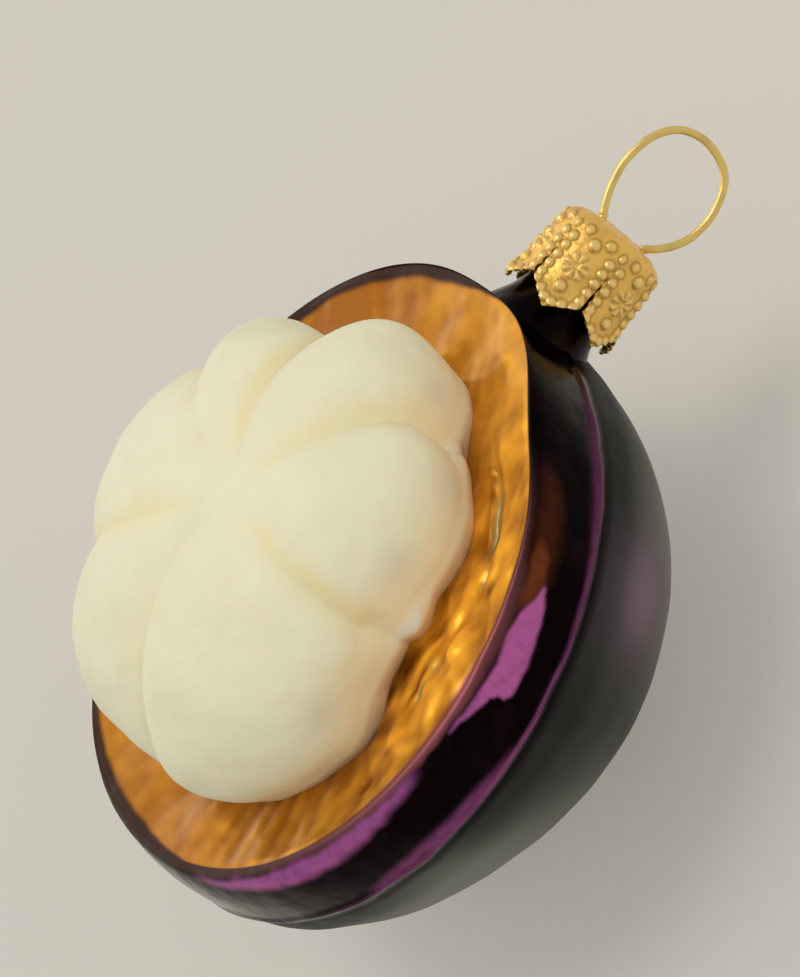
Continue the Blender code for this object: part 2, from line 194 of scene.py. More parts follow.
def makeRipple():
    # the uneven skin of blown glass: broad waves with a fine grain over them
    group, given, result = newGroup(
        "glassRipple",
        (("Wave Scale", "NodeSocketFloat", 250.0), ("Wave Height", "NodeSocketFloat", 0.0002),
         ("Grain Scale", "NodeSocketFloat", 3000.0), ("Grain Height", "NodeSocketFloat", 0.00001)),
        (("Normal", "NodeSocketVector"),))
    place = group.nodes.new("ShaderNodeTexCoord")
    last = None
    for size, height in (("Wave Scale", "Wave Height"), ("Grain Scale", "Grain Height")):
        waves = group.nodes.new("ShaderNodeTexNoise")
        waves.inputs["Detail"].default_value = 2.0
        bump = group.nodes.new("ShaderNodeBump")
        group.links.new(place.outputs["Object"], waves.inputs["Vector"])
        group.links.new(given.outputs[size], waves.inputs["Scale"])
        group.links.new(waves.outputs["Fac"], bump.inputs["Height"])
        group.links.new(given.outputs[height], bump.inputs["Distance"])
        if last:
            group.links.new(last, bump.inputs["Normal"])
        last = bump.outputs["Normal"]
    group.links.new(last, result.inputs["Normal"])
    return group


mottle = makeMottle()
ripple = makeRipple()


def useGroup(tree, group, output, **values):
    step = tree.nodes.new("ShaderNodeGroup")
    step.node_tree = group
    for label, value in values.items():
        feed(tree, value, step.inputs[label.replace("_", " ")])
    return step.outputs[output]


def newFinish(name, constants):
    finish = bpy.data.materials.new(name)
    finish.use_nodes = True
    tree = finish.node_tree
    shader = tree.nodes["Principled BSDF"]
    for label, value in constants.items():
        shader.inputs[label].default_value = value
    return finish, tree, shader


# the fruit's main sizes, as in the model; metres and degrees

fruit = {
    "rimRadius": 0.0300,          # outer edge of the cut face
    "seamRadius": 0.0317,         # widest, at the mould seam
    "seamDepth": 0.0078,
    "hullDepth": 0.0257,
    "flatRadius": 0.0070,
    "seamShift": (-0.0011, -0.0002),
    "dishDepth": 0.0023,
    "neckDrop": 0.0034,
    "neckTilt": 7.6,
    "neckRoll": -36.6,
}
hullArc = math.acos(fruit["flatRadius"] / fruit["seamRadius"])
rimLevel = fruit["seamDepth"] + fruit["hullDepth"] * math.sin(hullArc)
upToRim = Vector((0.0, 0.0, rimLevel))

flesh = {
    "centre": Vector((-0.0003, -0.0006, 0.0052)),
    "radius": 0.0234,
    "top": 0.0127,
    "below": 0.0165,
    "foot": -0.0016,
    "hubShift": Vector((0.235, -0.35, 0.0)),
    "dimple": 0.0009,
    "columns": 44,                # in each segment
    "rings": 104,
    "ringsEnd": 1.09,             # where the last ring is, 1 being the foot on the rim
    "softLumps": ((0.00022, 0.006, 0.0), (0.00007, 0.002, 3.0)),    # height, size, shift
    # groove that starts the segment: azimuth, swing, depth; the segment's reach; how steep the
    # groove's sides are, the side before it first
    "segments": (
        (-149.0, -60.0, 0.0027, 1.045, 2.8, 6.0),
        (-82.0, -22.0, 0.0034, 0.990, 6.0, 3.0),
        (-28.0, 8.0, 0.0025, 1.040, 6.0, 2.8),
        (14.0, 34.0, 0.0027, 1.055, 5.0, 3.0),
        (61.0, 30.0, 0.0023, 1.035, 4.0, 3.0),
        (124.0, 12.0, 0.0024, 1.010, 4.0, 4.0),
    ),
    # where the foot departs from round: azimuth, rise, spread
    "hills": ((-176.0, -0.0013, 0.28), (-145.0, 0.0019, 0.20), (-118.0, -0.0006, 0.15), (-97.0, -0.0021, 0.20),
              (-66.0, -0.0016, 0.28), (-23.0, -0.0006, 0.12), (1.0, 0.0008, 0.12), (25.0, -0.0034, 0.30)),
    # how far the white skin spreads over the rim at the foot, and more so at the notches: azimuth, reach, spread
    "skirt": 0.00035,
    "webs": ((-77.0, 0.0012, 0.10), (-29.0, 0.0010, 0.09)),
    # yellow airbrush along each groove: strength, half width, offset, from and to along the groove
    "airbrush": (
        (0.40, 0.0010, -0.0006, 0.20, 0.85),
        (1.10, 0.0011, 0.0010, 0.10, 0.84),
        (0.90, 0.0013, 0.0011, 0.08, 0.96),
        (1.10, 0.0012, 0.0012, 0.10, 0.80),
        (0.30, 0.0010, 0.0004, 0.15, 0.80),
        (0.90, 0.0009, 0.0, 0.12, 0.95),
    ),
    # patches of other colours, the grey ones painted shade on the near flank: azimuth, radius, level below the rim,
    # size
    "orangeSpots": ((-34.0, 0.0216, -0.0079, 0.0014),),
    "shadePatches": ((-67.0, 0.0233, -0.0060, 0.0022), (-20.0, 0.0231, -0.0036, 0.0020), (-105.0, 0.0240, -0.0050, 0.0026),
                (-45.0, 0.0228, -0.0030, 0.0026)),
    "bareSpots": ((-82.0, 0.0182, 0.0004, 0.0012), (-27.0, 0.0200, 0.0009, 0.0012)),
}


def fleshPoint(index, across, azimuth, share):
    starts = flesh["segments"]
    after = (index + 1) % len(starts)
    footAngle = math.acos((flesh["foot"] - flesh["centre"].z) / flesh["below"])
    polar = footAngle * share
    swing = starts[index][1] + (starts[after][1] - starts[index][1]) * 0.5 * (across + 1.0)
    turn = azimuth + math.radians(swing) * max(1.0 - share, 0.0) ** 2
    unit = Vector((math.sin(polar) * math.cos(turn), math.sin(polar) * math.sin(turn), math.cos(polar)))
    unit = (unit + flesh["hubShift"] * max(unit.z, 0.0) ** 1.5).normalized()
    wide = flesh["radius"]
    high = flesh["top"] if unit.z > 0.0 else flesh["below"]
    point = Vector((wide * unit.x, wide * unit.y, high * unit.z))
    outward = Vector((unit.x / wide, unit.y / wide, unit.z / high)).normalized()
    groove = starts[index if across < 0.0 else after]
    steep = groove[5 if across < 0.0 else 4]
    sharpness = 2.2 + (steep - 2.2) * ease(share, 0.05, 0.40)
    sharpness += (1.7 - sharpness) * ease(share, 0.55, 1.0)
    run = (0.01 + 0.99 * ease(share, 0.0, 0.90)) * (1.0 - 0.25 * ease(share, 0.80, 1.0))
    valley = groove[2] * abs(across) ** sharpness * run
    swell = (starts[index][3] - 1.0) * wide * (1.0 - across * across) * ease(share, 0.15, 0.75)
    swell += hills(azimuth, flesh["hills"]) * ease(share, 0.25, 0.85)
    dimple = flesh["dimple"] * hill(share, 0.16)
    skirt = (flesh["skirt"] + hills(azimuth, flesh["webs"])) * ease(share, 0.90, 1.0) ** 2
    point += Vector((math.cos(azimuth), math.sin(azimuth), 0.0)) * skirt
    return flesh["centre"] + point - outward * (valley - swell + dimple), outward


def segmentAt(azimuth):
    # the segment that this azimuth of the foot lies in, and the place across it from -1 to 1
    degrees = math.degrees(azimuth)
    starts = [row[0] for row in flesh["segments"]]
    for index, start in enumerate(starts):
        width = (starts[(index + 1) % len(starts)] - start) % 360.0
        inside = (degrees - start) % 360.0
        if inside < width:
            return index, 2.0 * inside / width - 1.0
    return 0, -1.0


def nearSpots(point, spots):
    strength = 0.0
    for azimuth, radius, level, size in spots:
        turn = math.radians(azimuth)
        centre = Vector((radius * math.cos(turn), radius * math.sin(turn), -level))
        strength = max(strength, hill((point - centre).length, size))
    return strength


def makeFlesh(finish):
    starts = [row[0] for row in flesh["segments"]]
    rings = [flesh["ringsEnd"] * step / flesh["rings"] for step in range(flesh["rings"] + 1)]
    mesh = spunDisc(rings, flesh["columns"] * len(starts), ("airbrush", "orange", "shadePatch", "bareAndGlint"))
    layers = {name: mesh.verts.layers.float[name] for name in ("airbrush", "orange", "shadePatch", "bareAndGlint")}
    for vert in mesh.verts:
        share = math.hypot(vert.co.x, vert.co.y)
        sixth = (math.atan2(vert.co.y, vert.co.x) % math.tau) / math.tau * len(starts)
        index = int(sixth) % len(starts)
        even = sixth - int(sixth)       # columns lie closer together at the grooves
        across = 2.0 * (0.6 * even + 0.4 * (0.5 - 0.5 * math.cos(math.pi * even))) - 1.0
        after = (index + 1) % len(starts)
        width = (starts[after] - starts[index]) % 360.0
        azimuth = math.radians(starts[index] + width * 0.5 * (across + 1.0))
        point, outward = fleshPoint(index, across, azimuth, share)
        point += outward * lumps(point, flesh["softLumps"]) * ease(share, 0.0, 0.3)

        groove = index if across < 0.0 else after
        strength, halfWidth, offset, first, last = flesh["airbrush"][groove]
        arm = math.hypot(point.x - flesh["centre"].x, point.y - flesh["centre"].y)
        away = (1.0 - abs(across)) * 0.5 * math.radians(width) * max(arm, 0.004)
        signed = (away if across < 0.0 else -away) - offset
        along = ease(share, first - 0.06, first + 0.10) * (1.0 - ease(share, last - 0.12, last + 0.06))
        ragged = 0.85 + 0.4 * lump(point, 0.0016, 5.0)
        vert[layers["airbrush"]] = min(strength * hill(signed, halfWidth) * along * ragged, 1.0)
        vert[layers["orange"]] = nearSpots(point, flesh["orangeSpots"]) * hill(signed, halfWidth)
        # grey patches on the flank that faces the camera: painted shade
        vert[layers["shadePatch"]] = nearSpots(point, flesh["shadePatches"])
        web = min(hills(azimuth, flesh["webs"]) / 0.0008, 1.0) * ease(share, 0.93, 0.98)
        # silver: bare silvering at the notches and webs; the faint silver line all round the foot is a painted
        # highlight
        vert[layers["bareAndGlint"]] = max(nearSpots(point, flesh["bareSpots"]), 0.55 * web, 0.3 * ease(share, 0.96, 1.0))
        vert.co = point + upToRim
    closeHoles(mesh)
    return makePiece("fleshSegments", mesh, finish, "glass_body")


# the rind: dished gilt rim, glossy band, mould seam and frosted hull, in one skin

rind = {
    "columns": 480,
    "dishRings": 46,
    "bandRings": 46,
    "hullRings": 66,
    "lipRoll": 0.00022,           # rounding of the cut edge
    # folds of the rim: broad waves and their counts, then fine radial folds at the far left
    "broadWave": (0.00022, 17.0),
    "slowWave": (0.00028, 7.0),
    "folds": (0.00005, 60.0),
    "foldsAt": (-135.0, 0.45),
    # its hammered lumps: size and shift, then height everywhere and what is added where it is bumpy
    "bumpyAt": (-76.0, 0.62),
    "waveLump": (0.0036, 0.0, 0.00026, 0.00080),
    "smallLump": (0.0016, 2.0, 0.00005, 0.00040),
    # where the rim is painted lighter or darker by side, as light falls: azimuth, spread, strength
    "paintedSideLight": ((-56.0, 0.90, 0.40), (38.0, 0.45, -0.32), (-165.0, 0.60, -0.14)),
    "toneAndSheen": 0.30,
    # the bright folds are painted highlights, also raised this much
    "foldHeight": 0.0005,         # of the bright folds below
    # pressed hollows of the rim: azimuth, radius, half length round the rim, half width, depth, olive
    "hollows": (
        (-50.0, 0.0238, 0.0048, 0.00070, 0.00045, 0.8),
        (-62.5, 0.0245, 0.0012, 0.0006, 0.0006, 0.8),
        (-36.0, 0.0236, 0.0030, 0.0009, 0.0006, 0.15),
        (-90.0, 0.0237, 0.0013, 0.00055, 0.0006, 1.0),
        (-83.8, 0.0240, 0.0012, 0.0011, 0.0005, 0.35),
        (-104.0, 0.0242, 0.0010, 0.0008, 0.0005, 0.0),
        (-111.0, 0.0265, 0.0009, 0.0008, 0.0004, 0.0),
        (-18.0, 0.0262, 0.0016, 0.0014, 0.0003, 0.0),
    ),
    # dark spots (below 0), partly painted shade, and bright folds (above 0), painted highlights: azimuth, radius, half
    # length, half width, strength
    "stainsAndPaintedLight": (
        (-65.5, 0.0268, 0.0008, 0.0009, -0.9), (-90.6, 0.0229, 0.0016, 0.00022, -1.0),
        (-86.0, 0.0229, 0.0010, 0.0005, -0.6), (-111.0, 0.0266, 0.0008, 0.0007, -0.6),
        (-103.0, 0.0262, 0.0007, 0.0006, -0.5), (-44.0, 0.0228, 0.0050, 0.0004, -0.5),
        (47.0, 0.0280, 0.0007, 0.0016, -0.6), (-30.0, 0.0225, 0.0012, 0.0010, -0.4),
        (-73.0, 0.0227, 0.0026, 0.0008, 0.8), (-82.0, 0.0216, 0.0022, 0.0006, 0.6),
        (-58.0, 0.0262, 0.0050, 0.0009, 0.4), (-97.0, 0.0256, 0.0055, 0.0013, 0.45),
        (-16.0, 0.0280, 0.0050, 0.0010, 0.3),
    ),
    # waves of the band and hull, the seam's bead and the groove beside it, and the hull's two broad rings:
    # height, size, shift, then height, place below the seam or the rim, half width
    "skinLumps": ((0.00006, 0.0030, 4.0), (0.00014, 0.009, 9.0)),
    "seamBeads": ((0.00024, 0.0, 0.00042), (-0.00016, 0.0009, 0.0005)),
    "hullWaves": ((0.00012, 0.0118, 0.0013), (-0.00010, 0.0150, 0.0016)),
    # where the cut edge and the hull depart from round: azimuth, rise, spread
    "edgeHills": ((-12.0, 0.0010, 0.22), (-35.0, -0.0008, 0.25), (18.0, 0.0006, 0.45), (60.0, 0.0007, 0.80),
                  (150.0, 0.0022, 0.55)),
    "hullHills": ((-118.0, -0.0012, 0.52), (-42.0, 0.0005, 0.45)),
    # the magenta shapes are painted reflections of bright light, partly lacquer colour; the ember shapes are a painted
    # reddish sheen
    # painted shapes of the band: softness, strength, then azimuth with upper and lower line below the rim
    "magentaShapes": (
        (0.00022, 1.0, ((-60.5, 3.1, 3.2), (-64, 2.4, 3.6), (-67, 1.6, 3.9), (-71, 1.15, 4.0), (-76, 1.5, 4.35),
                        (-79.3, 1.3, 4.0), (-80.6, 1.25, 2.4), (-84, 1.05, 1.80), (-87, 0.9, 1.2), (-90, 0.95, 1.05))),
        (0.00060, 0.90, ((-96, 0.6, 0.7), (-100, 0.4, 1.1), (-105, 0.3, 1.4), (-111, 0.2, 1.7), (-118, 0.1, 2.0),
                         (-127, 0.1, 2.1), (-138, 0.1, 1.7), (-147, 0.1, 1.2), (-158, 0.1, 0.5))),
        (0.00070, 0.45, ((-84, 7.1, 7.3), (-92, 6.7, 7.3), (-99, 6.3, 7.3), (-110, 6.1, 7.2), (-124, 6.9, 7.2))),
        (0.00030, 0.9, ((25, 2.4, 2.5), (33, 1.4, 3.4), (44, 1.1, 4.2), (53, 1.5, 4.0), (56, 1.4, 2.2),
                        (70, 1.2, 1.5))),
        (0.00060, 0.8, ((90, 0.5, 0.6), (105, 0.6, 1.9), (125, 0.6, 2.2), (140, 0.7, 1.4), (150, 0.8, 0.9))),
    ),
    "emberShapes": (
        (0.00050, 0.95, ((-51, 1.6, 1.8), (-57, 1.2, 2.9), (-61, 1.1, 3.0), (-64.5, 0.9, 2.2), (-69, 0.8, 1.0))),
        (0.00100, 0.30, ((-38, 1.4, 1.6), (-46, 1.0, 3.2), (-54, 0.8, 3.6), (-60, 1.0, 3.4), (-66, 1.2, 2.0))),
        (0.00060, 0.8, ((60, 1.3, 1.5), (72, 0.8, 3.2), (80, 0.9, 2.6), (86, 1.0, 1.3))),
    ),
    # violet glow painted on the frosted hull, a painted reflection: azimuth, depth below the cut face, half length,
    # half width, strength
    "violetGlow": ((-53.0, 0.0160, 0.0050, 0.0040, 1.0), (-47.0, 0.0215, 0.0050, 0.0040, 0.4),
                   (60.0, 0.0150, 0.0070, 0.0050, 0.7), (170.0, 0.0160, 0.0070, 0.0050, 0.7)),
}


def rimRelief(azimuth, radius, share):
    # height of the dished rim here, how olive its lacquer is, and how bright it is painted, painted highlight and
    # shade included
    place = Vector((radius * math.cos(azimuth), radius * math.sin(azimuth), 0.0))
    broadHeight, broadCount = rind["broadWave"]
    slowHeight, slowCount = rind["slowWave"]
    foldHeight, foldCount = rind["folds"]
    foldsAt, foldsSpread = rind["foldsAt"]
    bumpyAt, bumpySpread = rind["bumpyAt"]
    waveSize, waveShift, waveHeight, waveMore = rind["waveLump"]
    smallSize, smallShift, smallHeight, smallMore = rind["smallLump"]
    broad = broadHeight * math.sin(broadCount * azimuth + 1.3 * math.sin(3.0 * azimuth))
    broad += slowHeight * math.sin(slowCount * azimuth + 2.0) * math.sin(2.0 * azimuth + 0.6)
    folds = foldHeight * math.sin(foldCount * azimuth + 2.5 * math.sin(5.0 * azimuth) + 3.0 * share)
    folds *= hill(turnBetween(azimuth, foldsAt), foldsSpread)
    bumpy = hill(turnBetween(azimuth, bumpyAt), bumpySpread)
    wave, small = lump(place, waveSize, waveShift), lump(place, smallSize, smallShift)
    hammered = (waveHeight + waveMore * bumpy) * wave + (smallHeight + smallMore * bumpy) * small
    level = (broad + folds + hammered) * math.sin(math.pi * min(max(share, 0.0), 1.0)) ** 0.7
    # crests of the lumps and folds are painted lighter and hollows darker, partly lacquer pooling and partly painted
    # highlight and shade; each side of the rim is then painted lighter or darker as the light falls
    toneAndSheen = rind["toneAndSheen"] + (0.26 + 0.74 * bumpy) * (0.75 * wave + 0.60 * small) + 0.1 * folds / foldHeight
    toneAndSheen += sum(amount * hill(turnBetween(azimuth, centre), spread) for centre, spread, amount in rind["paintedSideLight"])
    pit = 0.0
    for centre, middle, halfLength, halfWidth, depth, olive in rind["hollows"]:
        along = turnBetween(azimuth, centre) * middle / halfLength
        over = (radius - middle) / halfWidth
        if abs(along) < 2.6 and abs(over) < 2.6:
            shape = math.exp(-along ** 2 - over ** 2)
            level -= depth * shape
            pit = max(pit, olive * ease(shape, 0.30, 0.80))
    for centre, middle, halfLength, halfWidth, strength in rind["stainsAndPaintedLight"]:
        along = turnBetween(azimuth, centre) * middle / halfLength
        over = (radius - middle) / halfWidth
        if abs(along) < 2.6 and abs(over) < 2.6:
            shape = strength * math.exp(-along ** 2 - over ** 2)
            toneAndSheen += shape
            level += rind["foldHeight"] * max(shape, 0.0)
    return level, pit, toneAndSheen


def glowStrength(azimuth, below, radius, patches):
    strength = 0.0
    for centre, middle, halfLength, halfWidth, amount in patches:
        along = turnBetween(azimuth, centre) * radius / halfLength
        over = (below - middle) / halfWidth
        strength = max(strength, amount * math.exp(-along ** 2 - over ** 2))
    return strength


def paintStrength(degrees, below, shapes):
    # how much of a painted shape lies here; its two edges run straight between the listed places
    strength = 0.0
    for soft, amount, rows in shapes:
        rows = sorted(rows)
        if not rows[0][0] < degrees < rows[-1][0]:
            continue
        for (start, startUpper, startLower), (end, endUpper, endLower) in zip(rows, rows[1:]):
            if start <= degrees <= end:
                t = (degrees - start) / (end - start)
                upper = (startUpper + (endUpper - startUpper) * t) * 0.001
                lower = (startLower + (endLower - startLower) * t) * 0.001
                inside = ease(below, upper - soft, upper + soft) * (1.0 - ease(below, lower - soft, lower + soft))
                fade = 6.0 if soft > 0.0004 else 1.0
                inside *= ease(degrees, rows[0][0], rows[0][0] + fade)
                inside *= 1.0 - ease(degrees, rows[-1][0] - fade, rows[-1][0])
                strength = max(strength, amount * inside)
    return strength


def giltInset(azimuth):
    # how far inside the cut edge the gilding stops, and how soft its border is
    degrees = math.degrees(turnBetween(azimuth, 90.0)) + 90.0       # from -90 to 270
    far = ease(degrees, -9.0, 18.0) * (1.0 - ease(degrees, 172.0, 208.0))
    near = hill(turnBetween(azimuth, -90.0), 0.50)
    inset = 0.0014 * far - 0.0003 * hill(turnBetween(azimuth, 150.0), 0.3) + 0.00045 * near
    return inset, 0.00012 + 0.00025 * far + 0.00035 * near


def rindPoint(azimuth, reach, inner):
    # reach runs 0 to 1 over the dished rim, 1 to 2 down the band, and 2 to 3 under the hull
    edge = fruit["rimRadius"] + hills(azimuth, rind["edgeHills"])
    shiftX, shiftY = fruit["seamShift"]
    pit, toneAndSheen = 0.0, 0.5
    if reach <= 1.0:
        radius = inner + (edge - inner) * reach
        relief, pit, toneAndSheen = rimRelief(azimuth, radius, reach)
        level = -fruit["dishDepth"] * (1.0 - max(reach, 0.0)) ** 0.8 + relief
        level += min(reach, 0.0) * 0.004 - rind["lipRoll"] * ease(reach, 0.88, 1.0) ** 2
        shift = 0.0
        outward = Vector((0.0, 0.0, 1.0))
    elif reach <= 2.0:
        angle = 0.5 * math.pi * (reach - 1.0)
        radius = edge + (fruit["seamRadius"] - edge) * math.sin(angle)
        level = -fruit["seamDepth"] * (1.0 - math.cos(angle))
        level -= rind["lipRoll"] * (1.0 - ease(reach, 1.0, 1.3))
        shift = math.sin(angle)
        out, high = math.sin(angle) * fruit["seamDepth"], math.cos(angle) * (fruit["seamRadius"] - edge)
        outward = Vector((math.cos(azimuth) * out, math.sin(azimuth) * out, high)).normalized()
    else:
        angle = hullArc * (reach - 2.0)
        radius = fruit["seamRadius"] * math.cos(angle)
        radius += hills(azimuth, rind["hullHills"]) * math.sin(math.pi * min(reach - 2.0, 1.0))
        level = -fruit["seamDepth"] - fruit["hullDepth"] * math.sin(angle)
        shift = math.cos(angle)
        out, high = math.cos(angle) * fruit["hullDepth"], -math.sin(angle) * fruit["seamRadius"]
        outward = Vector((math.cos(azimuth) * out, math.sin(azimuth) * out, high)).normalized()
    point = Vector((radius * math.cos(azimuth) + shiftX * shift, radius * math.sin(azimuth) + shiftY * shift, level))
    return point, outward, pit, toneAndSheen


def rindPaint(point, azimuth, reach, below, radius, seam):
    # strength of each colour at this point of the skin
    degrees = math.degrees(azimuth)
    inside = fruit["rimRadius"] + hills(azimuth, rind["edgeHills"]) - radius
    inset, soft = giltInset(azimuth)
    inset += 0.00012 * lump(point, 0.0022, 11.0)
    patchy = 0.00022 * lump(point, 0.0016, 12.0)
    lipEnd = 0.0008 + 0.0009 * hill(turnBetween(azimuth, -72.0), 0.22)
    lip = 1.0 - ease(below + patchy, 0.0003, lipEnd)
    wide = 0.00018 + 0.00060 * hill(turnBetween(azimuth, -34.0), 0.32)
    wide += 0.00014 * hill(turnBetween(azimuth, -103.0), 0.3) + 0.00007 * lump(point, 0.0028, 15.0)
    # the pink seam line, strongest on the camera side, is partly paint and partly a painted reflection on the seam
    # bead
    pinkSheenAround = 0.15 + 0.85 * hill(turnBetween(azimuth, -82.0), 0.52) + 0.22 * hill(turnBetween(azimuth, -36.0), 0.30)
    shaded = 1.0 - 0.85 * hill(turnBetween(azimuth, -76.0), 0.36)
    lit = hill(turnBetween(azimuth, -115.0), 0.40)
    mist = below + 0.002 * lump(point, 0.012, 13.0)
    return {
        "gilt": ease(inside, inset - soft, inset + soft) if reach <= 1.0 else 0.0,
        "lip": lip * (1.0 - hill(turnBetween(azimuth, -33.0), 0.28)),
        "rose": hill(turnBetween(azimuth, -90.0), 0.55),
        # magenta: painted reflections, partly lacquer colour; ember: a painted reddish sheen
        "magenta": paintStrength(degrees, below + patchy, rind["magentaShapes"]),
        "ember": paintStrength(degrees, below + patchy, rind["emberShapes"]),
        "pinkSeamSheen": min(1.0, 1.3 * hill(below - seam, wide)) * pinkSheenAround,
        # a black line in the groove under the seam bead: painted shade
        "grooveShade": hill(below - seam - 0.00105, 0.00050),
        "frost": ease(below, seam + 0.0006, seam + 0.0016),
        # the frosted hull is painted lighter ash lower down, a painted reflection of the floor, weakened on the camera
        # side by shaded and raised near azimuth -115 by lit
        "floorSheen": ease(mist, 0.0115 - 0.0050 * lit, 0.0230 - 0.0085 * lit) * shaded,
        "violet": glowStrength(azimuth, below, radius, rind["violetGlow"]),
    }


def makeRind(finish):
    names = ("gilt", "pale", "toneAndSheen", "lip", "rose", "magenta", "pinkSeamSheen", "ember", "grooveShade", "frost", "floorSheen", "violet")
    rings = [0.80, 0.90] + [1.0 + step / rind["dishRings"] for step in range(rind["dishRings"] + 1)]
    rings += [2.0 + (step + 1) / rind["bandRings"] for step in range(rind["bandRings"])]
    rings += [3.0 + (step + 1) / rind["hullRings"] for step in range(rind["hullRings"])]
    mesh = spunDisc(rings, rind["columns"], names)
    layers = {name: mesh.verts.layers.float[name] for name in names}
    feet = {}
    for vert in mesh.verts:
        reach = math.hypot(vert.co.x, vert.co.y) - 1.0
        azimuth = math.atan2(vert.co.y, vert.co.x)
        column = round(azimuth / math.tau * rind["columns"])
        if column not in feet:
            index, across = segmentAt(azimuth)
            foot = fleshPoint(index, across, azimuth, 1.0)[0]
            feet[column] = math.hypot(foot.x, foot.y)
        point, outward, pit, toneAndSheen = rindPoint(azimuth, reach, feet[column])
        below = -point.z
        radius = math.hypot(point.x, point.y)
        wander = 0.00030 * lump(Vector((radius * math.cos(azimuth), radius * math.sin(azimuth), 0.0)), 0.0045, 7.0)
        seam = fruit["seamDepth"] - 0.0004 + wander
        if reach > 1.0:
            skin = lumps(point, rind["skinLumps"])
            skin += sum(height * hill(below - seam - place, width) for height, place, width in rind["seamBeads"])
            skin += sum(height * hill(below - place, width) for height, place, width in rind["hullWaves"])
            point += outward * skin * ease(reach, 1.0, 1.25) * (1.0 - ease(reach, 2.8, 2.95))
        for name, strength in rindPaint(point, azimuth, reach, below, radius, seam).items():
            vert[layers[name]] = strength
        vert[layers["pale"]] = pit
        vert[layers["toneAndSheen"]] = min(max(toneAndSheen, 0.0), 1.0)
        vert.co = point + upToRim
    closeHoles(mesh)
    return makePiece("rindSkin", mesh, finish, "glass_body")


# the neck and what stands on it, in the neck's own frame: Z out along the neck

neckPlace = (Matrix.Translation((0.0, 0.0, rimLevel - fruit["neckDrop"]))
             @ Matrix.Rotation(math.radians(90.0 + fruit["neckTilt"]), 4, "Y")
             @ Matrix.Rotation(math.radians(fruit["neckRoll"]), 4, "Z"))

neck = {
    "outline": ((0.0064, 0.0286), (0.0060, 0.0298), (0.0054, 0.0309), (0.0049, 0.0319), (0.0046, 0.0329),
                (0.0044, 0.0341), (0.0044, 0.0370), (0.0044, 0.0400), (0.0043, 0.0404), (0.0041, 0.0406)),
    "sides": 160,
}


def makeNeck(finish):
    mesh = bmesh.new()
    outline = smoothLine([Vector((radius, 0.0, along)) for radius, along in neck["outline"]], 5)
    spots = [mesh.verts.new(spot) for spot in outline]
    lines = [mesh.edges.new(pair) for pair in zip(spots, spots[1:])]
    bmesh.ops.spin(mesh, geom=spots + lines, cent=(0, 0, 0), axis=(0, 0, 1),
                   angle=math.tau, steps=neck["sides"], use_merge=True)
    for vert in mesh.verts:
        vert.co *= 1.0 + 0.008 * lump(vert.co, 0.006, 6.0)
    closeHoles(mesh)
    bmesh.ops.transform(mesh, matrix=neckPlace, verts=mesh.verts)
    return makePiece("neckGlass", mesh, finish, "glass_body")


# the cap: one sixth of the embossed sheet, cut, bent round and turned six times

cap = {
    "top": 0.0417,
    "dome": 0.0006,
    "radiusTop": 0.0054,
    "radiusSkirt": 0.0059,
    "edge": 0.0013,
    "band": 0.0024,
    "tabCorner": 0.0074,
    "tabTip": 0.0094,
    "sheet": 0.00034,
    "tabs": 6,
    "turn": -103.0,
    "slit": 0.00030,
    "slitFrom": 0.0034,           # no slit above this drop
    "flare": 0.0003,
    "columns": 46,
    "rows": 112,
    "ringDepth": 0.00006,         # of the groove round each bead
    "sheetLump": (0.00006, 0.0025, 1.0),
    "topLump": (0.00026, 0.0011, 8.0),
    # raised beads of one sixth: across, drop below the top, radius, height
    "beads": ((0.0, 0.0021, 0.00060, 0.00044), (0.0, 0.0069, 0.00058, 0.00044), (0.00309, 0.0014, 0.00056, 0.00036),
              (0.0013, 0.0012, 0.00050, 0.00022)),
    "edgeBeads": (0.0026, 0.0037, 0.0048, 0.0059, 0.0069),
    "tipBeads": ((0.00225, 0.0077), (0.00125, 0.0082), (0.00042, 0.0086)),
    "edgeBead": (0.00050, 0.00036),
    "flower": {"drop": 0.0046, "reach": 0.00150, "leaves": 8, "height": 0.00032},
}


def capMiddle():
    # how far the top runs out before its edge rounds over
    edge = cap["edge"]
    return cap["radiusTop"] + (cap["radiusSkirt"] - cap["radiusTop"]) * edge / cap["tabTip"] - edge


def capOutline(along):
    # from the middle of the top, over the rounded edge and down the skirt: radius, level, slope and drop
    edge, middle = cap["edge"], capMiddle()
    arc = 0.5 * math.pi * edge
    if along < middle:
        return along, cap["top"] + cap["dome"] * (1.0 - (along / middle) ** 2), 0.25 * along / middle, 0.0
    if along < middle + arc:
        angle = (along - middle) / edge
        drop = edge * (1.0 - math.cos(angle))
        return middle + edge * math.sin(angle), cap["top"] - drop, angle, drop
    drop = edge + along - middle - arc
    radius = cap["radiusTop"] + (cap["radiusSkirt"] - cap["radiusTop"]) * drop / cap["tabTip"]
    return radius, cap["top"] - drop, 0.5 * math.pi, drop


def beadHeight(distance, radius, height):
    inside = 1.0 - (distance / radius) ** 2
    return height * math.sqrt(inside) if inside > 0.0 else 0.0


